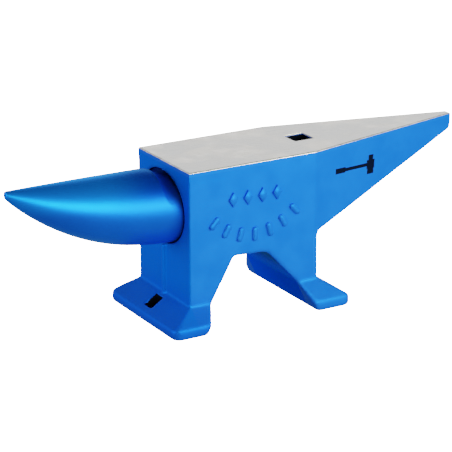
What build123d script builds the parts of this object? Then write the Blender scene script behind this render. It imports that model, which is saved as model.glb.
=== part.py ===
from build123d import *
import os

# Double-ended bench anvil: a cast body on two splayed feet, a flat steel face plate on top of it,
# a round horn at one end and a tapering square heel at the other.
# Millimetres. +X points to the heel, +Z up. The origin is the middle of the anvil's overall
# length and width, at the level of the feet.

# ---------------------------------------------------------------- driving dimensions
LENGTH = 476.0           # tip of horn to tip of heel
HEIGHT = 152.0           # floor to working face
FACE_WIDTH = 96.0        # width of the face and of the waist
BASE_WIDTH = 129.0       # width over the feet
HORN_REACH = 157.5       # front wall to tip of horn
HEEL_REACH = 184.0       # start of the heel's taper to its tip
WAIST_LENGTH = 137.0     # front wall to rear wall

PLATE_THICKNESS = 6.0    # hardened face plate
PLATE_EDGE = 0.8         # broken edge of the working face
GROOVE = 2.0             # weld preparation on the plate and on the body

HEEL_ROOT_Z = 73.5       # underside of the heel where it leaves the waist
HEEL_TIP_DEPTH = 15.2    # depth of the heel at its tip, face plate included
HEEL_TIP_WIDTH = 8.0
HEEL_NOSE_RADIUS = 6.0   # rounded lower corner of the tip
HEEL_ROOT_RADIUS = 7.0   # hollow corner between waist and heel

TOE_FRONT = 24.5         # how far the front foot stands out from the front wall
TOE_REAR = 29.0          # the same at the rear wall
PAD_HEIGHT = 9.7         # upright rim of a foot
SHOULDER_FRONT_Z = 24.2  # where the front foot starts to splay
SHOULDER_REAR_Z = 27.5   # where the rear foot starts to splay
PAD_CORNER_RADIUS = 8.0
PAD_EDGE_RADIUS = 3.2
FLOOR_EDGE_RADIUS = 2.0
SHOULDER_RADIUS = 4.0

ARCH_FRONT_FOOT_X = -70.0    # inner edge of the front foot on the floor
ARCH_FRONT_TOP = (-33.7, 65.6)
ARCH_REAR_TOP = (1.6, 63.2)
ARCH_KNEE = (35.2, 27.0)
ARCH_REAR_FOOT_X = 48.2      # inner edge of the rear foot on the floor
ARCH_FRONT_TOP_RADIUS = 5.0
ARCH_REAR_TOP_RADIUS = 11.0
ARCH_KNEE_RADIUS = 22.0
ARCH_LIP_RADIUS = 2.0        # rounded edge of the arch on both sides of the waist

HARDY_SIZE = 21.0            # square tool hole
HARDY_CORNER_RADIUS = 1.5
HARDY_FROM_BREAK = 11.0      # its centre, behind the start of the heel's taper
HARDY_BOTTOM_Z = 68.0        # just under the heel's hollow corner
SPIKE_SIZE = 13.0            # square hold-down hole in the front foot
SPIKE_CORNER_RADIUS = 2.0
SPIKE_FROM_WALL = 11.5       # its centre, in front of the front wall

RECESS_WIDTH = 84.0          # oval recess in the front wall around the horn's root
RECESS_HEIGHT = 70.0
RECESS_Y = 4.2               # its centre lies slightly towards the far side of the horn's
RECESS_Z = 107.2
RECESS_DEPTH = 8.0
RECESS_LIP = 1.4
RIB_WIDTH = 7.0              # casting rib down the middle of the front wall
RIB_HEIGHT = 2.2

HORN_ROOT_RADIUS = 35.3
HORN_TIP_RADIUS = 3.7
HORN_TOP_ROOT_Z = 145.6      # level of the horn's upper line at the root
HORN_TOP_TIP_Z = 147.7       # and at the tip
HORN_FORM = (2.2, 0.95)      # exponents of the horn's swelling
HORN_BUTT_RADIUS = 4.0
HORN_TIP_EDGE = 1.2
HORN_STATIONS = (1.0, 0.96, 0.9, 0.82, 0.72, 0.6, 0.45, 0.3, 0.16)  # fractions of the horn's reach
HORN_ROOT = (                # distance in front of the wall, width, height, level of the centre
    (14.0, 70.6, 69.9, 110.2),
    (6.0, 70.8, 68.0, 109.0),
    (0.0, 70.8, 65.6, 107.8),
    (-4.0, 69.6, 62.4, 106.8),
    (-8.0, 66.6, 57.6, 106.0),
)
RELIEF_WIDTH = 71.6          # oval that the top of the horn's root is ground down to
RELIEF_Z = 109.0
RELIEF_TOPS = (              # distance in front of the wall, level of the ground surface's top
    (18.0, 146.1),
    (15.0, 145.2),
    (11.0, 142.6),
    (6.0, 140.4),
    (0.0, 138.8),
    (-8.0, 135.5),
)

SPIGOT_DIAMETER = 44.0
SPIGOT_LENGTH = 46.0
SPIGOT_Z = 105.0
PIN_DIAMETER = 12.0
PIN_FROM_WALL = 30.0
PIN_LENGTH = 74.0
DOWEL_DIAMETER = 8.0
DOWEL_LENGTH = 18.0
DOWEL_IN_PLATE = 3.5
FIT_GAP = 0.05               # radial clearance of pins, dowels and spigot in their holes
HORN_WELD_THICKNESS = 3.0
BORE_END_GAP = 1.0           # left beyond the end of the spigot

MARK_HEIGHT = 2.0            # how far the cast ornaments stand out
MARK_DRAFT = 12              # degrees
LOZENGE_COUNT = 4
LOZENGE_PITCH = 15.5
LOZENGE_Z = 120.0
LOZENGE_SIZE = (10.0, 15.0)
STUD_COUNT = 7
STUD_ARC_RADIUS = 62.0
STUD_ARC_STEP = 14.5         # degrees between neighbours
STUD_SIZE = (6.0, 14.0)
MARKS_X = -12.0              # middle of the ornaments
STUD_LOW_Z = 83.5            # lowest point of the row of studs

TOLERANCE = 0.01             # for telling edges apart

# ---------------------------------------------------------------- derived places
HORN_TIP_X = -LENGTH / 2
HEEL_TIP_X = LENGTH / 2
FRONT_X = HORN_TIP_X + HORN_REACH
BREAK_X = HEEL_TIP_X - HEEL_REACH
REAR_X = FRONT_X + WAIST_LENGTH
FACE_HALF = FACE_WIDTH / 2
BASE_HALF = BASE_WIDTH / 2
BODY_TOP_Z = HEIGHT - PLATE_THICKNESS
RECESS_FLOOR_X = FRONT_X + RECESS_DEPTH
HARDY_X = BREAK_X + HARDY_FROM_BREAK
SPIKE_X = FRONT_X - SPIKE_FROM_WALL
PIN_X = FRONT_X + PIN_FROM_WALL
DOWEL_PLACES = [(FRONT_X + 60, 30), (FRONT_X + 60, -30), (HEEL_TIP_X - 120, 0), (HEEL_TIP_X - 60, 0)]


# ---------------------------------------------------------------- helpers
def side_prism(points, half_width, radii):
    """Extrude an outline drawn in the XZ plane to both sides of the middle plane."""
    face = make_face(Plane.XZ * Polyline(points, close=True))
    for (x, z), radius in radii.items():
        face = round_corners(face, [(x, 0, z)], radius)
    return extrude(face, half_width, both=True)


def column(x, y, radius, low_z, high_z):
    """Upright cylinder."""
    return Pos(x, y, low_z) * extrude(Circle(radius), high_z - low_z)


def square_shaft(x, size, corner_radius, low_z, high_z):
    """Upright square prism on the middle plane, with rounded corners."""
    return Pos(x, 0, low_z) * extrude(RectangleRounded(size, size, corner_radius), high_z - low_z)


def round_corners(sketch, corners, radius):
    """Round the sketch's vertices nearest to the given points."""
    for corner in corners:
        sketch = fillet(sketch.vertices().sort_by_distance(corner)[0], radius)
    return sketch


def plan_outline(low_z, high_z):
    """The anvil seen from above: parallel over the waist, then tapering to the heel's tip."""
    tip = HEEL_TIP_WIDTH / 2
    points = [
        (FRONT_X, -FACE_HALF),
        (BREAK_X, -FACE_HALF),
        (HEEL_TIP_X, -tip),
        (HEEL_TIP_X, tip),
        (BREAK_X, FACE_HALF),
        (FRONT_X, FACE_HALF),
    ]
    sketch = make_face(Polyline(points, close=True))
    return Pos(0, 0, low_z) * extrude(sketch, high_z - low_z, dir=(0, 0, 1))


def oval(width, height, z, x):
    """Ellipse across the horn's axis, its face towards the heel."""
    return Plane(origin=(x, 0, z), x_dir=(0, 1, 0), z_dir=(1, 0, 0)) * Ellipse(width / 2, height / 2)


# ---------------------------------------------------------------- body
def upper_block():
    """Waist and heel, up to the underside of the face plate."""
    heel_nose = (HEEL_TIP_X, HEIGHT - HEEL_TIP_DEPTH)
    heel_root = (REAR_X, HEEL_ROOT_Z)
    outline = [
        (FRONT_X, 0),
        (REAR_X, 0),
        heel_root,
        heel_nose,
        (HEEL_TIP_X, BODY_TOP_Z),
        (FRONT_X, BODY_TOP_Z),
    ]
    radii = {heel_root: HEEL_ROOT_RADIUS, heel_nose: HEEL_NOSE_RADIUS}
    block = side_prism(outline, FACE_HALF, radii) & plan_outline(0, BODY_TOP_Z)
    return chamfer(block.faces().sort_by(Axis.Z)[-1].edges(), GROOVE)


def foot(wall_x, toe_x, shoulder_z):
    """One splayed foot under the waist: sloping top, upright rim, rounded corners."""
    middle_x = (FRONT_X + REAR_X) / 2
    reach = abs(toe_x - middle_x)
    outward = 1 if toe_x > wall_x else -1
    top_z = shoulder_z + 4 * SHOULDER_RADIUS
    toe_top = (toe_x, PAD_HEIGHT)
    shoulder = (wall_x, shoulder_z)
    side_view = [(middle_x, 0), (toe_x, 0), toe_top, shoulder, (wall_x, top_z), (middle_x, top_z)]
    radii = {toe_top: PAD_EDGE_RADIUS, shoulder: SHOULDER_RADIUS}
    long_way = side_prism(side_view, BASE_HALF, radii)

    right_half = [(BASE_HALF, 0), (BASE_HALF, PAD_HEIGHT), (FACE_HALF, shoulder_z), (FACE_HALF, top_z)]
    left_half = [(-y, z) for y, z in reversed(right_half)]
    section = make_face(Plane.YZ * Polyline(right_half + left_half, close=True))
    rims = [(0, y, PAD_HEIGHT) for y in (-BASE_HALF, BASE_HALF)]
    shoulders = [(0, y, shoulder_z) for y in (-FACE_HALF, FACE_HALF)]
    section = round_corners(section, rims, PAD_EDGE_RADIUS)
    section = round_corners(section, shoulders, SHOULDER_RADIUS)
    cross_way = Pos(middle_x, 0, 0) * extrude(section, reach, dir=(outward, 0, 0))

    plan = Pos(middle_x, 0) * RectangleRounded(2 * reach, BASE_WIDTH, PAD_CORNER_RADIUS)
    return long_way & cross_way & extrude(plan, top_z)


def arch():
    """Space between the feet, cut right across the body."""
    front_floor = (ARCH_FRONT_FOOT_X, 0)
    rear_floor = (ARCH_REAR_FOOT_X, 0)
    outline = [front_floor, ARCH_FRONT_TOP, ARCH_REAR_TOP, ARCH_KNEE, rear_floor]
    radii = {
        ARCH_FRONT_TOP: ARCH_FRONT_TOP_RADIUS,
        ARCH_REAR_TOP: ARCH_REAR_TOP_RADIUS,
        ARCH_KNEE: ARCH_KNEE_RADIUS,
    }
    return side_prism(outline, BASE_HALF, radii)


def on_arch_lip(edge):
    """True for an edge where the arch breaks out through a side of the body."""
    start = edge.start_point()
    end = edge.end_point()
    outside = abs(edge.center().Y) > FACE_HALF - 1
    under_arch = ARCH_FRONT_FOOT_X < edge.center().X < ARCH_REAR_FOOT_X
    below_crown = edge.center().Z < ARCH_FRONT_TOP[1]
    climbs = abs(start.Z - end.Z) + abs(start.Y - end.Y) > TOLERANCE
    crown = edge.center().Z > ARCH_REAR_TOP[1] - TOLERANCE
    return outside and under_arch and below_crown and (climbs or crown)


def on_floor(edge):
    return edge.bounding_box().max.Z < TOLERANCE


def recess_outline(x, lip=0.0):
    """Oval of the recess around the root of the horn, widened by its lip if given."""
    return Pos(0, RECESS_Y, 0) * oval(RECESS_WIDTH + 2 * lip, RECESS_HEIGHT + 2 * lip, RECESS_Z, x)


def horn_recess():
    """Oval recess in the front wall around the root of the horn."""
    return extrude(recess_outline(FRONT_X), RECESS_DEPTH)


def on_recess_lip(edge):
    in_front_wall = abs(edge.center().X - FRONT_X) < TOLERANCE
    return in_front_wall and edge.geom_type == GeomType.ELLIPSE


def spigot_bore():
    """Blind bore behind the recess for the horn's spigot."""
    radius = SPIGOT_DIAMETER / 2 + FIT_GAP
    face = oval(2 * radius, 2 * radius, SPIGOT_Z, RECESS_FLOOR_X)
    return extrude(face, SPIGOT_LENGTH + BORE_END_GAP)


def pin_hole():
    """Upright hole through the bore, closed at the top by the face plate."""
    return column(PIN_X, 0, PIN_DIAMETER / 2 + FIT_GAP, BODY_TOP_Z - PIN_LENGTH, BODY_TOP_Z)


def dowel_holes(low_z, high_z):
    return [column(x, y, DOWEL_DIAMETER / 2 + FIT_GAP, low_z, high_z) for x, y in DOWEL_PLACES]


def casting_rib():
    """Low rounded rib where the two halves of the mould met, down the front wall."""
    rib_radius = (RIB_WIDTH**2 / 4 + RIB_HEIGHT**2) / (2 * RIB_HEIGHT)
    centre_x = FRONT_X - RIB_HEIGHT + rib_radius
    rib = column(centre_x, 0, rib_radius, PAD_HEIGHT, BODY_TOP_Z - GROOVE)
    rib &= Pos(FRONT_X, 0, HEIGHT / 2) * Box(2 * RIB_HEIGHT, RIB_WIDTH, HEIGHT)
    return rib - extrude(recess_outline(FRONT_X, RECESS_LIP), RIB_WIDTH, both=True)


def lozenge(x, z):
    """Raised diamond-shaped ornament on the near side."""
    width, height = LOZENGE_SIZE
    outline = [(x - width / 2, z), (x, z - height / 2), (x + width / 2, z), (x, z + height / 2)]
    return make_face(Plane.XZ.offset(FACE_HALF) * Polyline(outline, close=True))


def stud(angle):
    """Raised round-ended ornament on the near side, one of a row along an arc."""
    centre_z = STUD_LOW_Z + STUD_ARC_RADIUS
    place = Pos(MARKS_X, centre_z) * Rot(0, 0, angle) * Pos(0, -STUD_ARC_RADIUS)
    width, height = STUD_SIZE
    return Plane.XZ.offset(FACE_HALF) * place * SlotOverall(height, width, rotation=90)


def ornaments():
    """Cast ornaments with drafted sides: a row of lozenges above a hanging arc of studs."""
    first_x = MARKS_X - LOZENGE_PITCH * (LOZENGE_COUNT - 1) / 2
    first_angle = -STUD_ARC_STEP * (STUD_COUNT - 1) / 2
    faces = [lozenge(first_x + i * LOZENGE_PITCH, LOZENGE_Z) for i in range(LOZENGE_COUNT)]
    faces += [stud(first_angle + i * STUD_ARC_STEP) for i in range(STUD_COUNT)]
    return [extrude(face, MARK_HEIGHT, dir=(0, -1, 0), taper=MARK_DRAFT) for face in faces]


def hardy_hole():
    return square_shaft(HARDY_X, HARDY_SIZE, HARDY_CORNER_RADIUS, HARDY_BOTTOM_Z, HEIGHT)


def spike_hole():
    return square_shaft(SPIKE_X, SPIKE_SIZE, SPIKE_CORNER_RADIUS, 0, SHOULDER_FRONT_Z)


def make_body():
    body = upper_block()
    body += foot(FRONT_X, FRONT_X - TOE_FRONT, SHOULDER_FRONT_Z)
    body += foot(REAR_X, REAR_X + TOE_REAR, SHOULDER_REAR_Z)
    body -= arch()
    body = fillet(body.edges().filter_by(on_arch_lip), ARCH_LIP_RADIUS)
    body = fillet(body.edges().filter_by(on_floor), FLOOR_EDGE_RADIUS)
    body -= horn_recess()
    body = fillet(body.edges().filter_by(on_recess_lip), RECESS_LIP)
    body += casting_rib()
    body += ornaments()
    body -= spigot_bore()
    body -= pin_hole()
    body -= dowel_holes(BODY_TOP_Z - DOWEL_LENGTH + DOWEL_IN_PLATE, BODY_TOP_Z)
    body -= hardy_hole()
    body -= spike_hole()
    return body


# ---------------------------------------------------------------- face plate
def blank_plate():
    """Plate over waist and heel, bevelled below for welding."""
    plate = plan_outline(BODY_TOP_Z, HEIGHT)
    return chamfer(plate.faces().sort_by(Axis.Z)[0].edges(), GROOVE)


def make_face_plate():
    """The hardened plate with broken upper edges, the hardy hole and the dowels' blind holes."""
    plate = blank_plate()
    plate = chamfer(plate.faces().sort_by(Axis.Z)[-1].edges(), PLATE_EDGE)
    plate -= hardy_hole()
    plate -= dowel_holes(BODY_TOP_Z, BODY_TOP_Z + DOWEL_IN_PLATE)
    return plate


def make_face_plate_weld():
    """Weld metal filling the V-groove between plate and body, dressed flush with the sides."""
    band = plan_outline(BODY_TOP_Z - GROOVE, BODY_TOP_Z + GROOVE)
    return band - upper_block() - blank_plate()


def make_dowels():
    low_z = BODY_TOP_Z - DOWEL_LENGTH + DOWEL_IN_PLATE
    return [column(x, y, DOWEL_DIAMETER / 2, low_z, low_z + DOWEL_LENGTH) for x, y in DOWEL_PLACES]


# ---------------------------------------------------------------- horn
def horn_profile(part_way):
    """Radius and centre level of the horn, from its root (0) to its tip (1)."""
    power, fullness = HORN_FORM
    swell = (1 - part_way**power) ** fullness
    radius = HORN_TIP_RADIUS + (HORN_ROOT_RADIUS - HORN_TIP_RADIUS) * swell
    top = HORN_TOP_ROOT_Z + (HORN_TOP_TIP_Z - HORN_TOP_ROOT_Z) * part_way
    return radius, top - radius


def root_relief():
    """Space ground away over the horn's root, which leaves a gap under the top of the recess."""
    sections = []
    for distance, top_z in RELIEF_TOPS:
        sections.append(oval(RELIEF_WIDTH, 2 * (top_z - RELIEF_Z), RELIEF_Z, FRONT_X - distance))
    length = RELIEF_TOPS[0][0] - RELIEF_TOPS[-1][0]
    middle_x = FRONT_X - RELIEF_TOPS[0][0] + length / 2
    above = Pos(middle_x, 0, RELIEF_Z + HEIGHT / 2) * Box(length, FACE_WIDTH, HEIGHT)
    return above - loft(sections)


def make_horn():
    """Round horn with a level upper line and a rounded butt, in one piece with its spigot."""
    sections = []
    for part_way in HORN_STATIONS:
        radius, centre_z = horn_profile(part_way)
        sections.append(oval(2 * radius, 2 * radius, centre_z, FRONT_X - part_way * HORN_REACH))
    for distance, width, height, centre_z in HORN_ROOT:
        sections.append(oval(width, height, centre_z, FRONT_X - distance))
    horn = loft(sections)
    horn = fillet(horn.faces().sort_by(Axis.X)[-1].edges(), HORN_BUTT_RADIUS)
    horn -= root_relief()
    horn = fillet(horn.faces().sort_by(Axis.X)[0].edges(), HORN_TIP_EDGE)
    spigot = extrude(oval(SPIGOT_DIAMETER, SPIGOT_DIAMETER, SPIGOT_Z, RECESS_FLOOR_X), SPIGOT_LENGTH)
    return horn + spigot - pin_hole()


def make_horn_weld(horn):
    """Weld run in the groove between the horn's butt and the wall of the recess."""
    return extrude(recess_outline(RECESS_FLOOR_X - HORN_WELD_THICKNESS), HORN_WELD_THICKNESS) - horn


def make_pin():
    """Pin through body and spigot, trapped under the face plate."""
    return column(PIN_X, 0, PIN_DIAMETER / 2, BODY_TOP_Z - PIN_LENGTH, BODY_TOP_Z)


# ---------------------------------------------------------------- export
def save(name, *shapes):
    """Write one node; identical pieces share it as separate solids."""
    solids = [solid for shape in shapes for solid in shape.solids()]
    result = solids[0] if len(solids) == 1 else Compound(solids)
    result.label = name
    export_step(result, os.path.join("parts", name + ".step"))


def main():
    os.makedirs("parts", exist_ok=True)
    horn = make_horn()
    save("body", make_body())
    save("face_plate", make_face_plate())
    save("face_plate_weld", make_face_plate_weld())
    save("face_plate_dowels", *make_dowels())
    save("horn", horn)
    save("horn_weld", make_horn_weld(horn))
    save("horn_retaining_pin", make_pin())


main()
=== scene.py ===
"""Looks for a double-ended bench anvil.

A blue sand-cast body under satin paint, a smoother painted horn and a bare ground steel face.
Metres. +X points to the heel, -Y to the side with the cast ornaments, +Z up.
"""
import functools
import math

import bmesh
import bpy
import numpy as np
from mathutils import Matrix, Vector, noise


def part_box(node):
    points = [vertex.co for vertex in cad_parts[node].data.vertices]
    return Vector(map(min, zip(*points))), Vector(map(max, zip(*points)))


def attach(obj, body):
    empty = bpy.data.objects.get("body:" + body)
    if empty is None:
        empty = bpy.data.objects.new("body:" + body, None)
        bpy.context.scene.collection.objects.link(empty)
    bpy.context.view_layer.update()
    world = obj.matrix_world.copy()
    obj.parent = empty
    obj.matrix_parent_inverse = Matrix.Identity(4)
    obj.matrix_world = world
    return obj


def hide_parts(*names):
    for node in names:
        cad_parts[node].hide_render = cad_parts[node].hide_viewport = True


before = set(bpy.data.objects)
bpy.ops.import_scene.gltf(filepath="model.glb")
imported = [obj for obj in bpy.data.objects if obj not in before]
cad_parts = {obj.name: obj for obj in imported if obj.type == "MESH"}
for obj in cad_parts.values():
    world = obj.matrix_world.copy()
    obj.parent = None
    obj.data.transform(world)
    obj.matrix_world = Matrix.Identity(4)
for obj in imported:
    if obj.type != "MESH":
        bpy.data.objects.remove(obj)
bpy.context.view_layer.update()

MM = 0.001
BODY_LOW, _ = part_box("body")
PLATE_LOW, PLATE_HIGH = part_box("face_plate")
WELD_LOW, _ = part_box("face_plate_weld")
FRONT_X = PLATE_LOW.x                # front wall
FACE_HALF = PLATE_HIGH.y             # half the width of the face and the waist
FACE_Z = PLATE_HIGH.z
BREAK_X = FRONT_X + 134.5 * MM       # start of the heel's taper
MIDDLE = Vector((0.0, 0.0, (BODY_LOW.z + PLATE_HIGH.z) / 2))

# ---------------------------------------------------------------- colours, scene linear
PAINT_BLUE = (0.0075, 0.105, 0.77)
PAINT_DEEP = (0.0055, 0.093, 0.72)
PAINT_LOW_SHADE = (0.003, 0.058, 0.60)     # painted shade, darker by the floor
PAINT_FRONT_SHADE = (0.0015, 0.098, 0.76)  # painted shade on the front wall
PAINT_ARCH_BOUNCE = (0.0005, 0.050, 0.93)   # painted bounce light, a deeper blue where light bounces between blue walls
PAINT_CROWN_SHADE = (0.0010, 0.020, 0.27)  # painted shade up under the crown of the arch
PAINT_TINT = (0.17, 0.85, 1.0)       # of the sheen
HORN_BLUE = (0.0042, 0.088, 0.72)
HORN_DEEP = (0.0032, 0.080, 0.67)
# painted light and shade on top of the horn: shade towards the root, light towards the tip
HORN_TOP_ROOT_SHADE = (0.001, 0.045, 0.55)
HORN_TOP_TIP_LIGHT = (0.005, 0.160, 1.0)
HORN_TINT = (0.28, 0.85, 1.0)
ROOT_SHADE_NAVY = (0.0010, 0.016, 0.14)    # painted shade on the root of the horn, under the lip of the recess
SHADOW_BLUE = (0.001, 0.006, 0.08)   # deep in the recess
# painted shadow in the hardy and spike holes
HOLE_SHADOW_BLACK = (0.001, 0.0015, 0.004)
PRINT_BLACK = (0.001, 0.002, 0.010)
STEEL_GREY = (0.80, 0.795, 0.785)
STEEL_WARM = (0.848, 0.819, 0.777)
STEEL_COOL = (0.592, 0.600, 0.604)
STEEL_TINT = (1.0, 1.0, 1.0)
PIN_DARK = (0.42, 0.42, 0.43)
PIN_LIGHT = (0.6, 0.6, 0.61)


# ---------------------------------------------------------------- shader helpers
class Shader:
    """A material's node tree, with short calls for the nodes used here."""

    def __init__(self, name):
        self.material = bpy.data.materials.new(name)
        self.material.use_nodes = True
        self.tree = self.material.node_tree
        self.surface = self.tree.nodes["Principled BSDF"]

    def node(self, kind, inputs=(), **settings):
        """Add a node. inputs maps a socket's name or number to a value or to another socket."""
        made = self.tree.nodes.new(kind)
        for key, value in settings.items():
            setattr(made, key, value)
        for key, value in dict(inputs).items():
            self.put(made.inputs[key], value)
        return made

    def put(self, socket, value):
        if isinstance(value, bpy.types.NodeSocket):
            self.tree.links.new(value, socket)
        else:
            socket.default_value = value

    def math(self, operation, *values):
        made = self.node("ShaderNodeMath", dict(enumerate(values)), operation=operation)
        return made.outputs[0]

    def all_of(self, *masks):
        """Product of masks: 1 only where each is 1."""
        return functools.reduce(functools.partial(self.math, "MULTIPLY"), masks)

    def any_of(self, *masks):
        """Highest of masks: 1 where one of them is 1."""
        return functools.reduce(functools.partial(self.math, "MAXIMUM"), masks)

    def ramp(self, value, low, high, start=0.0, end=1.0):
        """Smooth step from start to end as value goes from low to high."""
        inputs = {"Value": value, "From Min": low, "From Max": high, "To Min": start, "To Max": end}
        made = self.node("ShaderNodeMapRange", inputs, interpolation_type="SMOOTHSTEP")
        return made.outputs["Result"]

    def rising(self, value, start, blur):
        """0 up to start, 1 from a blur's width past it."""
        return self.ramp(value, start, start + blur)

    def falling(self, value, start, blur):
        """1 up to start, 0 from a blur's width past it."""
        return self.ramp(value, start, start + blur, 1.0, 0.0)

    def mix(self, amount, first, second):
        """Blend of two colours."""
        made = self.node("ShaderNodeMix", data_type="RGBA")
        self.put(made.inputs[0], amount)
        for socket, colour in zip((made.inputs[6], made.inputs[7]), (first, second)):
            plain = not isinstance(colour, bpy.types.NodeSocket)
            self.put(socket, (*colour, 1.0) if plain else colour)
        return made.outputs[2]

    def place(self):
        """The point, in metres in the row frame, and its x, y and z."""
        point = self.node("ShaderNodeTexCoord").outputs["Object"]
        parts = self.node("ShaderNodeSeparateXYZ", {0: point})
        return point, parts.outputs[0], parts.outputs[1], parts.outputs[2]

    def noise(self, point, scale, detail=2.0, roughness=0.5, stretch=None):
        """Noise of the given number of bumps per metre, stretched by a factor per axis."""
        if stretch:
            point = self.node("ShaderNodeVectorMath", {0: point, 1: stretch}, operation="MULTIPLY")
            point = point.outputs[0]
        inputs = {"Vector": point, "Scale": scale, "Detail": detail, "Roughness": roughness}
        return self.node("ShaderNodeTexNoise", inputs).outputs["Fac"]

    def bump(self, height, distance, under=None):
        """Normal for a noise of the given height, on top of the normal under it."""
        inputs = {"Height": height, "Distance": distance, "Strength": 1.0}
        if under is not None:
            inputs["Normal"] = under
        return self.node("ShaderNodeBump", inputs).outputs["Normal"]

    def finish(self, **inputs):
        """Set the shader's sockets and hand back the material."""
        for key, value in inputs.items():
            name = key.replace("_", " ")
            plain_colour = isinstance(value, tuple) and len(value) == 3
            self.put(self.surface.inputs[name], (*value, 1.0) if plain_colour else value)
        return self.material


# ---------------------------------------------------------------- places on the body
RECESS_FRONT = FRONT_X + 1.2 * MM
RECESS_BACK = FRONT_X + 9 * MM       # just behind the floor of the recess round the horn
RECESS_Y = 4.2 * MM                  # middle of the recess
RECESS_HALF = 42.5 * MM
RECESS_LOW = 70 * MM
RECESS_HIGH = 143 * MM
HARDY_X = BREAK_X + 11 * MM
HARDY_HALF = 10.5 * MM
HARDY_LOW = 69 * MM                  # just above where the hole comes out behind the rear leg
HARDY_HIGH = FACE_Z - 1.6 * MM
SPIKE_X = FRONT_X - 11.5 * MM
SPIKE_HALF = 6.5 * MM
ARCH_FRONT = -71 * MM
ARCH_REAR = 59 * MM
ARCH_TOP = 68 * MM


def in_square(s, x, y, centre_x, half):
    """1 inside an upright square hole, 0 from its rim outwards."""
    off_x = s.math("ABSOLUTE", s.math("SUBTRACT", x, centre_x))
    off = s.math("MAXIMUM", off_x, s.math("ABSOLUTE", y))
    return s.falling(off, half + 0.1 * MM, blur=0.2 * MM)


def in_holes(s, x, y, z):
    """1 in the hardy hole and in the spike hole, painted near-black as shadow where light doesn't
    reach.
    """
    hardy = in_square(s, x, y, HARDY_X, HARDY_HALF)
    below = s.falling(z, HARDY_HIGH, blur=0.6 * MM)
    above = s.rising(z, HARDY_LOW, blur=11 * MM)
    spike = in_square(s, x, y, SPIKE_X, SPIKE_HALF)
    return s.any_of(s.all_of(hardy, below, above), spike)


def in_recess(s, x, y, z):
    """1 in the recess round the horn."""
    behind = s.rising(x, RECESS_FRONT, blur=1.5 * MM)
    ahead = s.falling(x, RECESS_BACK, blur=0.5 * MM)
    off_middle = s.math("ABSOLUTE", s.math("SUBTRACT", y, RECESS_Y))
    between = s.falling(off_middle, RECESS_HALF, blur=0.7 * MM)
    above = s.rising(z, RECESS_LOW, blur=1 * MM)
    below = s.falling(z, RECESS_HIGH, blur=0.3 * MM)
    return s.all_of(behind, ahead, between, above, below)


def under_arch(s, x, y, z):
    """1 on the walls of the space between the feet, where bounce light and shade are painted."""
    between = s.falling(s.math("ABSOLUTE", y), FACE_HALF - 3 * MM, blur=2.5 * MM)
    behind = s.rising(x, ARCH_FRONT, blur=2 * MM)
    ahead = s.falling(x, ARCH_REAR, blur=2 * MM)
    below = s.falling(z, ARCH_TOP, blur=1 * MM)
    return s.all_of(behind, ahead, between, below)


# ---------------------------------------------------------------- print on the heel
PRINT_MIDDLE = (107 * MM, 125 * MM)  # along the heel and up
PRINT_TURN = math.radians(-3)
PRINT_BLUR = 0.15 * MM
PRINT_Y = -20 * MM                   # printed on what lies further out than this
PRINT_BOXES = (                      # a plain hammer: offset along and up, half length, half height
    (-4.0, 0.0, 21.5, 1.7),
    (19.5, 0.0, 5.2, 4.4),
    (19.5, 6.2, 3.2, 3.0),
    (19.5, -6.6, 4.4, 3.0),
    (-21.0, 0.0, 6.5, 2.7),
)


def outside_box(s, u, v, box):
    """How far a point is outside one box of the print, less than 0 inside it."""
    offset_u, offset_v, half_u, half_v = (size * MM for size in box)
    from_u = s.math("ABSOLUTE", s.math("SUBTRACT", u, offset_u))
    from_v = s.math("ABSOLUTE", s.math("SUBTRACT", v, offset_v))
    return s.math("MAXIMUM", s.math("SUBTRACT", from_u, half_u), s.math("SUBTRACT", from_v, half_v))


def printed(s, x, y, z):
    """1 on the mark printed on the near side of the heel."""
    along = s.math("SUBTRACT", x, PRINT_MIDDLE[0])
    up = s.math("SUBTRACT", z, PRINT_MIDDLE[1])
    cosine, sine = math.cos(PRINT_TURN), math.sin(PRINT_TURN)
    u = s.math("MULTIPLY_ADD", along, cosine, s.math("MULTIPLY", up, sine))
    v = s.math("MULTIPLY_ADD", up, cosine, s.math("MULTIPLY", along, -sine))
    distances = [outside_box(s, u, v, box) for box in PRINT_BOXES]
    distance = functools.reduce(functools.partial(s.math, "MINIMUM"), distances)
    on_print = s.falling(distance, -PRINT_BLUR, blur=2 * PRINT_BLUR)
    near_side = s.falling(y, PRINT_Y, blur=2 * MM)
    return s.all_of(on_print, near_side)


# ---------------------------------------------------------------- materials
PAINT_IOR = 1.07
PAINT_SPECULAR = 0.3
PAINT_METAL = 0.4            # share of metal flake, which tints the sheen blue
PAINT_ROUGH = (0.44, 0.52)
LOW_SHADE_SHARE = 0.85             # of the painted shade, right by the floor
REAR_SHARE = 0.3             # of that painted shade on the rear foot, which stands in more light
HORN_IOR = 1.15
HORN_METAL = 0.75
HORN_ROUGH = (0.38, 0.41)
ROOT_SHADE_SHARE = 0.9             # of the painted navy shade, at most
ROOT_SHADE_REACH = 17 * MM         # how far ahead of the wall the painted shade reaches on top of the horn
STEEL_ROUGH = (0.34, 0.46)
EDGE_ROUGH = 0.48            # of the paint down the plate's sides
WARM_SHARE = 0.7
PIN_ROUGH = 0.35


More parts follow.
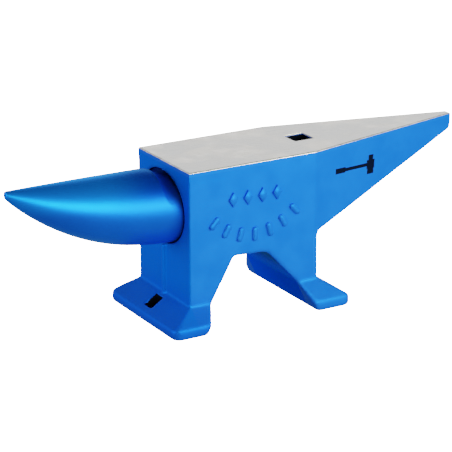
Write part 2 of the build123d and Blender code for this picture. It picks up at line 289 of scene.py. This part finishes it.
def shaded(s, colour, x, z, arch):
    """Body paint with painted shade, deeper on the front wall and towards the floor, and with painted
    bounce light under the arch that turns to painted shade up under its crown.
    """
    # painted shade on the front wall
    colour = s.mix(s.falling(x, FRONT_X, blur=2 * MM), colour, PAINT_FRONT_SHADE)
    # painted shade: darker towards the floor, less so on the rear foot
    by_floor = s.ramp(z, 4 * MM, 45 * MM, LOW_SHADE_SHARE, 0.0)
    to_rear = s.ramp(x, 0.0, 50 * MM, 1.0, REAR_SHARE)
    colour = s.mix(s.all_of(by_floor, to_rear), colour, PAINT_LOW_SHADE)
    # painted bounce light under the arch, turning to painted shade up under its crown
    arch_bounce_and_shade = s.mix(s.ramp(z, 34 * MM, 60 * MM), PAINT_ARCH_BOUNCE, PAINT_CROWN_SHADE)
    return s.mix(arch, colour, arch_bounce_and_shade)


def cast_paint():
    """Satin blue paint on a fine sand-cast skin, with a black print on the heel, painted shade on the
    front wall, towards the floor and up under the arch's crown, painted bounce light under the arch,
    painted shadow in the holes and the recess round the horn, and less sheen under the arch, in the
    holes and in the recess.
    """
    s = Shader("cast_paint")
    point, x, y, z = s.place()
    cloud = s.noise(point, 45.0, detail=3.0)
    grain = s.noise(point, 900.0, detail=3.0, roughness=0.6)
    orange_peel = s.noise(point, 260.0, detail=2.0)
    arch = under_arch(s, x, y, z)
    recess = in_recess(s, x, y, z)
    holes = in_holes(s, x, y, z)
    colour = s.mix(s.ramp(cloud, 0.25, 0.75), PAINT_DEEP, PAINT_BLUE)
    colour = shaded(s, colour, x, z, arch)
    colour = s.mix(printed(s, x, y, z), colour, PRINT_BLACK)
    colour = s.mix(recess, colour, SHADOW_BLUE)
    # painted shadow, near-black, in the holes
    colour = s.mix(holes, colour, HOLE_SHADOW_BLACK)
    normal = s.bump(orange_peel, 0.10 * MM)
    normal = s.bump(grain, 0.05 * MM, under=normal)
    rough = s.ramp(cloud, 0.25, 0.75, *PAINT_ROUGH)
    gloss = s.ramp(s.any_of(arch, holes, recess), 0.0, 1.0, PAINT_SPECULAR, 0.0)
    sheen = {"Specular_Tint": PAINT_TINT, "Specular_IOR_Level": gloss, "IOR": PAINT_IOR}
    return s.finish(Base_Color=colour, Roughness=rough, Normal=normal, Metallic=PAINT_METAL, **sheen)


def horn_paint():
    """Blue paint on the ground surface of the horn, with painted light on top towards the tip,
    painted shade on top of its root and under the lip of the recess, and painted shadow where it
    sinks into the recess.
    """
    s = Shader("horn_paint")
    point, x, y, z = s.place()
    cloud = s.noise(point, 18.0, detail=2.0)
    ripple = s.noise(point, 60.0, detail=1.0)
    colour = s.mix(s.ramp(cloud, 0.3, 0.7), HORN_DEEP, HORN_BLUE)
    # painted light and shade on top of the horn: lighter towards the tip, darker towards the root
    top = s.mix(s.ramp(x, FRONT_X - 75 * MM, FRONT_X - 20 * MM), HORN_TOP_TIP_LIGHT, HORN_TOP_ROOT_SHADE)
    colour = s.mix(s.ramp(z, 119 * MM, 136 * MM), colour, top)
    # painted shade on the root of the horn, under the lip of the recess
    reach = s.ramp(z, 108 * MM, 142 * MM, 0.0, ROOT_SHADE_REACH)
    from_wall = s.math("SUBTRACT", FRONT_X, x)
    root = s.ramp(s.math("SUBTRACT", reach, from_wall), -3 * MM, 7 * MM, 0.0, ROOT_SHADE_SHARE)
    colour = s.mix(root, colour, ROOT_SHADE_NAVY)
    sunk = s.rising(x, FRONT_X + 2 * MM, blur=4 * MM)
    colour = s.mix(sunk, colour, SHADOW_BLUE)
    normal = s.bump(ripple, 0.05 * MM)
    rough = s.ramp(cloud, 0.3, 0.7, *HORN_ROUGH)
    sheen = {"Specular_Tint": HORN_TINT, "IOR": HORN_IOR}
    return s.finish(Base_Color=colour, Roughness=rough, Normal=normal, Metallic=HORN_METAL, **sheen)


def face_steel():
    """Bare ground steel on top of the plate, body paint down its sides, painted near-black shadow in
    the tool hole.
    """
    s = Shader("face_steel")
    point, x, y, z = s.place()
    scratches = s.noise(point, 40.0, detail=4.0, stretch=(1.0, 22.0, 1.0))
    mottle = s.noise(point, 110.0, detail=4.0, roughness=0.6)
    patches = s.noise(point, 30.0, detail=2.0)
    tone = s.math("MULTIPLY_ADD", scratches, 0.5, s.math("MULTIPLY", mottle, 0.5))
    colour = s.mix(s.ramp(tone, 0.38, 0.62), STEEL_COOL, STEEL_GREY)
    colour = s.mix(s.ramp(patches, 0.42, 0.62, 0.0, WARM_SHARE), colour, STEEL_WARM)
    edge = s.math("ADD", z, s.math("MULTIPLY", mottle, 0.4 * MM))
    bare = s.rising(edge, FACE_Z - 0.9 * MM, blur=0.3 * MM)
    colour = s.mix(bare, PAINT_BLUE, colour)
    # painted shadow in the tool hole, which loses its metal sheen too
    hole = in_holes(s, x, y, z)
    colour = s.mix(hole, colour, HOLE_SHADOW_BLACK)
    steel_rough = s.ramp(tone, 0.3, 0.7, *STEEL_ROUGH)
    rough = s.math("MULTIPLY_ADD", bare, s.math("SUBTRACT", steel_rough, EDGE_ROUGH), EDGE_ROUGH)
    lit = s.ramp(hole, 0.0, 1.0, 1.0, 0.0)
    metal = s.all_of(lit, s.ramp(bare, 0.0, 1.0, PAINT_METAL, 1.0))
    tint = s.mix(bare, PAINT_TINT, STEEL_TINT)
    sheen = {"Specular_Tint": tint, "Specular_IOR_Level": PAINT_SPECULAR, "IOR": PAINT_IOR}
    normal = s.bump(scratches, 0.02 * MM)
    return s.finish(Base_Color=colour, Roughness=rough, Normal=normal, Metallic=metal, **sheen)


def plain_steel():
    """Turned steel of the hidden pins."""
    s = Shader("plain_steel")
    point, *_ = s.place()
    rings = s.noise(point, 50.0, detail=3.0, stretch=(1.0, 1.0, 30.0))
    colour = s.mix(rings, PIN_DARK, PIN_LIGHT)
    normal = s.bump(rings, 0.03 * MM)
    return s.finish(Base_Color=colour, Roughness=PIN_ROUGH, Normal=normal, Metallic=1.0)


# ---------------------------------------------------------------- cast skin of the body
CELL_DEPTH = 8               # octree depth of the even mesh: 2 ** 8 cells along the body
CELLS_SPAN = 0.99            # share of the octree that the body takes up
CREASE = math.radians(14)    # a sharper turn between two faces is an edge to soften
SHARP = math.radians(40)     # a sharper turn than this is shaded as an edge
RADIUS_PER_SPREAD = 2.5      # rounding radius of an edge for the spread it is smoothed by
SMOOTH_STEP = 0.5            # share of the way to the neighbours' mean, each round
STEADY_Z = 140 * MM          # everything moves from here down, and less and less above it,
STILL_Z = WELD_LOW.z - 1 * MM        # up to this height, where nothing does
FEET_STEADY = 4 * MM         # the unevenness fades out over this height, to nothing on the floor
WAVE = 0.14 * MM             # unevenness left by the sand mould
WAVES_PER_METRE = 34.0


class Skin:
    """An even, fine copy of a CAD node's mesh whose edges can be softened like a casting's."""

    def __init__(self, node):
        flat_mesh = without_marks(joined_up(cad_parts[node].data))
        source = bpy.data.objects.new(node + "_source", flat_mesh)
        bpy.context.scene.collection.objects.link(source)
        remesh = source.modifiers.new("even", "REMESH")
        remesh.mode = "SHARP"
        remesh.octree_depth = CELL_DEPTH
        remesh.scale = CELLS_SPAN
        remesh.use_remove_disconnected = False
        graph = bpy.context.evaluated_depsgraph_get()
        self.mesh = bpy.data.meshes.new_from_object(source.evaluated_get(graph))
        bpy.data.objects.remove(source)
        count = len(self.mesh.vertices)
        self.points = read(self.mesh.vertices, "co", 3)
        self.links = read(self.mesh.edges, "vertices", 2, int)
        self.both_ways = np.concatenate([self.links, self.links[:, ::-1]])
        self.valence = np.bincount(self.both_ways[:, 0], minlength=count)
        self.creases = self.crease_points()
        self.cell = float(np.median(self.edge_lengths()))

    def edge_lengths(self):
        return np.linalg.norm(self.points[self.links[:, 0]] - self.points[self.links[:, 1]], axis=1)

    def crease_points(self):
        """Marks the vertices on edges where the surface turns sharply."""
        shape = bmesh.new()
        shape.from_mesh(self.mesh)
        sharp = [e.index for e in shape.edges if e.calc_face_angle(0) > CREASE]
        shape.free()
        marked = np.zeros(len(self.points), bool)
        marked[self.links[sharp].ravel()] = True
        return marked

    def around(self, seeds, reach):
        """1 at the seeds, falling smoothly to 0 at the given distance along the surface."""
        steps = reach / self.cell
        far = np.where(seeds, 0.0, steps)
        for _ in range(math.ceil(steps)):
            nearest = far[self.both_ways[:, 1]] + 1
            np.minimum.at(far, self.both_ways[:, 0], nearest)
        share = np.clip(1 - far / steps, 0, 1)
        return share * share * (3 - 2 * share)

    def soften(self, seeds, radius):
        """Round the surface off near the seeds, to about the given radius."""
        spread = radius / RADIUS_PER_SPREAD
        rounds = max(1, round((2 * spread / self.cell) ** 2))
        weight = SMOOTH_STEP * self.around(seeds, radius + 2 * self.cell) * self.moving()
        for _ in range(rounds):
            self.points += weight[:, None] * (self.neighbour_mean() - self.points)

    def neighbour_mean(self):
        here, there = self.both_ways.T
        count = len(self.points)
        sums = [np.bincount(here, self.points[there, axis], count) for axis in range(3)]
        return np.stack(sums, 1) / self.valence[:, None]

    def moving(self):
        """0 at the weld and above, 1 further down."""
        return np.clip((STILL_Z - self.points[:, 2]) / (STILL_Z - STEADY_Z), 0, 1)

    def ripple(self):
        """Give flat faces the slight unevenness of a sand casting."""
        self.store()
        normals = read(self.mesh.vertices, "normal", 3)
        at = self.points * WAVES_PER_METRE
        wave = np.array([noise.noise(Vector(p)) for p in at])
        wave *= self.moving() * np.clip(self.points[:, 2] / FEET_STEADY, 0, 1)
        self.points += WAVE * wave[:, None] * normals

    def store(self):
        self.mesh.vertices.foreach_set("co", self.points.ravel())
        self.mesh.update()


def read(items, name, width, kind=float):
    """One property of all vertices or edges, as a table with a row for each."""
    values = np.zeros(len(items) * width, kind)
    items.foreach_get(name, values)
    return values.reshape(-1, width)


WELD_DISTANCE = 0.001 * MM   # vertices closer than this are one


def joined_up(mesh):
    """Copy of a mesh with the vertices along its faces' borders merged."""
    shape = bmesh.new()
    shape.from_mesh(mesh)
    bmesh.ops.remove_doubles(shape, verts=shape.verts, dist=WELD_DISTANCE)
    copy = bpy.data.meshes.new(mesh.name + "_joined")
    shape.to_mesh(copy)
    shape.free()
    return copy


MARKS_Y = -FACE_HALF - 0.05 * MM     # what lies further out than this is an ornament
MARKS_LOW = 70 * MM                  # and no lower than this, as the feet stand out too
MARK_ROOT = 0.6 * MM                 # how deep the ornaments' feet reach into the skin
MARK_EDGE = 0.25 * MM


def without_marks(mesh):
    """Press the ornaments flat into the near side."""
    for vertex in mesh.vertices:
        if vertex.co.y < MARKS_Y and vertex.co.z > MARKS_LOW:
            vertex.co.y = -FACE_HALF
    return mesh


def on_mark(face):
    outermost = min(v.co.y for v in face.verts)
    return outermost < MARKS_Y and min(v.co.z for v in face.verts) > MARKS_LOW


def cast_marks():
    """The ornaments alone, with slightly rounded edges, their feet sunk into the skin."""
    shape = bmesh.new()
    shape.from_mesh(joined_up(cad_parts["body"].data))
    rest = [f for f in shape.faces if not on_mark(f)]
    bmesh.ops.delete(shape, geom=rest, context="FACES")
    rims = [e for e in shape.edges if e.is_boundary]
    bmesh.ops.holes_fill(shape, edges=rims)
    bmesh.ops.recalc_face_normals(shape, faces=shape.faces)
    tops = [e for e in shape.edges if e.calc_face_angle(0) > CREASE]
    tops = [e for e in tops if max(v.co.y for v in e.verts) < MARKS_Y]
    bevel(shape, tops, MARK_EDGE)
    for vertex in shape.verts:
        if vertex.co.y > MARKS_Y:
            vertex.co.y = -FACE_HALF + MARK_ROOT
    return shape


def bevel(shape, edges, width):
    bmesh.ops.bevel(shape, geom=edges, offset=width, segments=2, affect="EDGES", clamp_overlap=True)


def flat_above(mesh, level):
    """Shade the weld groove flat, so that the joint under the plate shows no line."""
    high = read(mesh.vertices, "co", 3)[:, 2] > level
    ends = read(mesh.edges, "vertices", 2, int)
    sharp = mesh.attributes["sharp_edge"].data
    marked = read(sharp, "value", 1, bool)[:, 0] | high[ends].all(axis=1)
    sharp.foreach_set("value", marked)


def wear(mesh, material, sharp_angle):
    """Give a new mesh its material, and smooth shading except over edges past an angle."""
    mesh.materials.clear()
    mesh.materials.append(material)
    mesh.polygons.foreach_set("use_smooth", [True] * len(mesh.polygons))
    mesh.set_sharp_from_angle(angle=sharp_angle)


LIP_BAND = 3 * MM            # the arch's lips lie this close to the sides, or further out
ARCH_SPAN = (-72 * MM, 50 * MM)
CROWN_FRONT = (-8 * MM, 40 * MM)     # ahead of this and above this, the lips are crisper
PAD_TOP = 14 * MM
HARDY_SPAN = (50 * MM, 78 * MM)
HARDY_BAND = 12 * MM
CAST_RADIUS = 2.4 * MM
PAD_RADIUS = 5.0 * MM
LIP_RADIUS = 4.0 * MM


def soften_casting(skin):
    """Round the edges that the mould left round, each kind to its own radius."""
    x, y, z = skin.points.T
    off_middle = np.abs(y)
    lips = skin.creases & (off_middle > FACE_HALF - LIP_BAND) & (z > 1 * MM) & (z < ARCH_TOP)
    lips &= (x > ARCH_SPAN[0]) & (x < ARCH_SPAN[1])
    lips &= ~((x < CROWN_FRONT[0]) & (z > CROWN_FRONT[1]))
    pad_rims = skin.creases & (z < PAD_TOP)
    holes = (off_middle < HARDY_BAND) & (x > HARDY_SPAN[0]) & (x < HARDY_SPAN[1])
    below_weld = z < WELD_LOW.z - 2 * MM
    skin.soften(skin.creases & ~holes & below_weld, CAST_RADIUS)
    skin.soften(pad_rims, PAD_RADIUS)
    skin.soften(lips, LIP_RADIUS)


def make_body_skin(material):
    """The casting with softened edges, and its ornaments joined into the same mesh."""
    skin = Skin("body")
    soften_casting(skin)
    skin.ripple()
    skin.store()
    shape = cast_marks()
    shape.from_mesh(skin.mesh)
    shape.to_mesh(skin.mesh)
    shape.free()
    wear(skin.mesh, material, SHARP)
    flat_above(skin.mesh, WELD_LOW.z - 0.7 * MM)
    piece = bpy.data.objects.new("body_skin", skin.mesh)
    bpy.context.scene.collection.objects.link(piece)
    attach(piece, "root")
    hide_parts("body")


FACE_EDGE = 0.25 * MM
FACE_SHARP = math.radians(10)


def make_face(material):
    """The face plate with its broken edge rounded, so that it catches the light."""
    shape = bmesh.new()
    shape.from_mesh(joined_up(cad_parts["face_plate"].data))
    top = [e for e in shape.edges if e.calc_face_angle(0) > CREASE]
    top = [e for e in top if min(v.co.z for v in e.verts) > FACE_Z - 1.5 * MM]
    bevel(shape, top, FACE_EDGE)
    mesh = bpy.data.meshes.new("face_plate_ground")
    shape.to_mesh(mesh)
    shape.free()
    wear(mesh, material, FACE_SHARP)
    piece = bpy.data.objects.new("face_plate_ground", mesh)
    bpy.context.scene.collection.objects.link(piece)
    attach(piece, "root")
    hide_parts("face_plate")


def dress(node, material):
    """Give a CAD node its material."""
    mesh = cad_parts[node].data
    mesh.materials.clear()
    mesh.materials.append(material)


# ---------------------------------------------------------------- stage
FLOOR_HALF = 6.0
FLOOR_GREY = (0.88, 0.88, 0.885)
FLOOR_PALE = (0.9, 0.9, 0.9)
FLOOR_GLOW = 12.0            # keeps the paper white; it doesn't light the object
WORLD_BELOW = 0.6            # what the floor sends up
WORLD_HORIZON = 2.05
WORLD_ABOVE = 0.02
WORLD_STOPS = ((-4, WORLD_BELOW), (2, WORLD_HORIZON), (20, WORLD_HORIZON), (32, WORLD_ABOVE))
WORLD_LEFT = 0.3             # share left of the sky's light on the horn's side
WORLD_TURN = (-0.5, 0.3)     # x of the directions between which that share rises to 1


def make_floor():
    """Pale floor, wide enough to fill every view."""
    half = FLOOR_HALF
    corners = [(-half, -half, 0), (half, -half, 0), (half, half, 0), (-half, half, 0)]
    mesh = bpy.data.meshes.new("floor")
    mesh.from_pydata(corners, [], [(0, 1, 2, 3)])
    floor = bpy.data.objects.new("floor", mesh)
    bpy.context.scene.collection.objects.link(floor)
    s = Shader("floor_paper")
    point, *_ = s.place()
    colour = s.mix(s.noise(point, 1.5, detail=1.0), FLOOR_GREY, FLOOR_PALE)
    white = {"Emission_Color": (1.0, 1.0, 1.0), "Emission_Strength": FLOOR_GLOW}
    mesh.materials.append(s.finish(Base_Color=colour, Roughness=0.8, Specular_IOR_Level=0.1, **white))
    floor.visible_diffuse = False
    floor.visible_glossy = False


def aim(thing, target):
    thing.rotation_euler = (target - thing.location).to_track_quat("-Z", "Y").to_euler()


def outwards(azimuth, elevation):
    """Direction away from the object: azimuth 0 is -Y, positive towards +X."""
    a, e = math.radians(azimuth), math.radians(elevation)
    return Vector((math.sin(a) * math.cos(e), -math.cos(a) * math.cos(e), math.sin(e)))


def soft_light(name, azimuth, elevation, distance, width, height, brightness, colour):
    """A soft box. brightness is that of its surface, where white paper lit to white is 1."""
    light = bpy.data.lights.new(name, "AREA")
    light.shape = "RECTANGLE"
    light.size = width
    light.size_y = height
    light.energy = brightness * math.pi * width * height
    light.color = colour
    lamp = bpy.data.objects.new(name, light)
    lamp.location = MIDDLE + distance * outwards(azimuth, elevation)
    lamp.visible_camera = False
    aim(lamp, MIDDLE)
    bpy.context.scene.collection.objects.link(lamp)


def world_node(tree, kind, **settings):
    made = tree.nodes.new(kind)
    for key, value in settings.items():
        setattr(made, key, value)
    return made


def sky_by_height(tree, up):
    """Brightness of the sky by the height of a direction, whose z is given."""
    height = world_node(tree, "ShaderNodeMath", operation="MULTIPLY_ADD")
    height.inputs[1].default_value = 0.5
    height.inputs[2].default_value = 0.5
    ramp = world_node(tree, "ShaderNodeValToRGB")
    for _ in WORLD_STOPS[2:]:
        ramp.color_ramp.elements.new(0.5)
    for element, (elevation, strength) in zip(ramp.color_ramp.elements, WORLD_STOPS):
        element.position = 0.5 + 0.5 * math.sin(math.radians(elevation))
        element.color = (strength, strength, strength, 1)
    tree.links.new(up, height.inputs[0])
    tree.links.new(height.outputs[0], ramp.inputs[0])
    return ramp.outputs["Color"]


def sky_by_side(tree, along):
    """Share of the sky's light by side, dimmer on the horn's. along is a direction's x."""
    side = world_node(tree, "ShaderNodeMapRange", interpolation_type="SMOOTHSTEP")
    side.inputs["From Min"].default_value, side.inputs["From Max"].default_value = WORLD_TURN
    side.inputs["To Min"].default_value = WORLD_LEFT
    side.inputs["To Max"].default_value = 1.0
    tree.links.new(along, side.inputs["Value"])
    return side.outputs["Result"]


def make_world():
    """White near the horizon, dimmer overhead, below and on the horn's side."""
    world = bpy.data.worlds.new("studio")
    world.use_nodes = True
    bpy.context.scene.world = world
    tree = world.node_tree
    where = world_node(tree, "ShaderNodeTexCoord")
    parts = world_node(tree, "ShaderNodeSeparateXYZ")
    both = world_node(tree, "ShaderNodeMath", operation="MULTIPLY")
    tree.links.new(where.outputs["Generated"], parts.inputs[0])
    tree.links.new(sky_by_height(tree, parts.outputs["Z"]), both.inputs[0])
    tree.links.new(sky_by_side(tree, parts.outputs["X"]), both.inputs[1])
    background = tree.nodes["Background"]
    background.inputs["Color"].default_value = (1, 1, 1, 1)
    tree.links.new(both.outputs[0], background.inputs["Strength"])


CAMERA_LENS = 164.2          # mm, for a sensor 36 mm wide
CAMERA_AZIMUTH = -30.42
CAMERA_ELEVATION = 18.98
CAMERA_DISTANCE = 1.954
CAMERA_TARGET = MIDDLE + Vector((-1.6, 21.8, -7.6)) * MM


def make_camera():
    camera_data = bpy.data.cameras.new("camera")
    camera_data.lens = CAMERA_LENS
    camera_data.sensor_width = 36.0
    camera = bpy.data.objects.new("camera", camera_data)
    camera.location = CAMERA_TARGET + CAMERA_DISTANCE * outwards(CAMERA_AZIMUTH, CAMERA_ELEVATION)
    aim(camera, CAMERA_TARGET)
    bpy.context.scene.collection.objects.link(camera)
    bpy.context.scene.camera = camera


RESPONSE_HALF = 0.76         # scene brightness that comes out at half of white
RESPONSE_TOP = 8.0           # scene brightness that comes out white
RESPONSE_LEVELS = (0.0, 0.02, 0.05, 0.1, 0.18, 0.3, 0.5, 0.8, 1.3, 2.0, 3.2, 5.0, RESPONSE_TOP)


def set_response():
    """A film-like curve, so bright colours level off instead of clipping."""
    view = bpy.context.scene.view_settings
    view.view_transform = "Standard"
    view.use_curve_mapping = True
    mapping = view.curve_mapping
    mapping.white_level = [RESPONSE_TOP] * 3
    curve = mapping.curves[3]
    while len(curve.points) < len(RESPONSE_LEVELS):
        curve.points.new(1.0, 1.0)
    top = RESPONSE_TOP / (RESPONSE_TOP + RESPONSE_HALF)
    for point, level in zip(curve.points, RESPONSE_LEVELS):
        point.location = (level / RESPONSE_TOP, level / (level + RESPONSE_HALF) / top)
    mapping.update()


paint = cast_paint()
make_body_skin(paint)
for node_name in ("face_plate_weld", "horn_weld"):
    dress(node_name, paint)
dress("horn", horn_paint())
make_face(face_steel())
steel = plain_steel()
dress("face_plate_dowels", steel)
dress("horn_retaining_pin", steel)

make_floor()
make_world()
soft_light("key", azimuth=12, elevation=14, distance=0.9, width=0.9, height=0.3,
           brightness=14.8, colour=(1.0, 1.0, 0.72))
soft_light("strip", azimuth=14, elevation=25.5, distance=0.95, width=1.2, height=0.12,
           brightness=17.5, colour=(1.0, 1.0, 0.7))
soft_light("left", azimuth=-105, elevation=6, distance=1.2, width=0.9, height=0.5,
           brightness=8.0, colour=(0.9, 0.95, 1.0))
make_camera()
set_response()
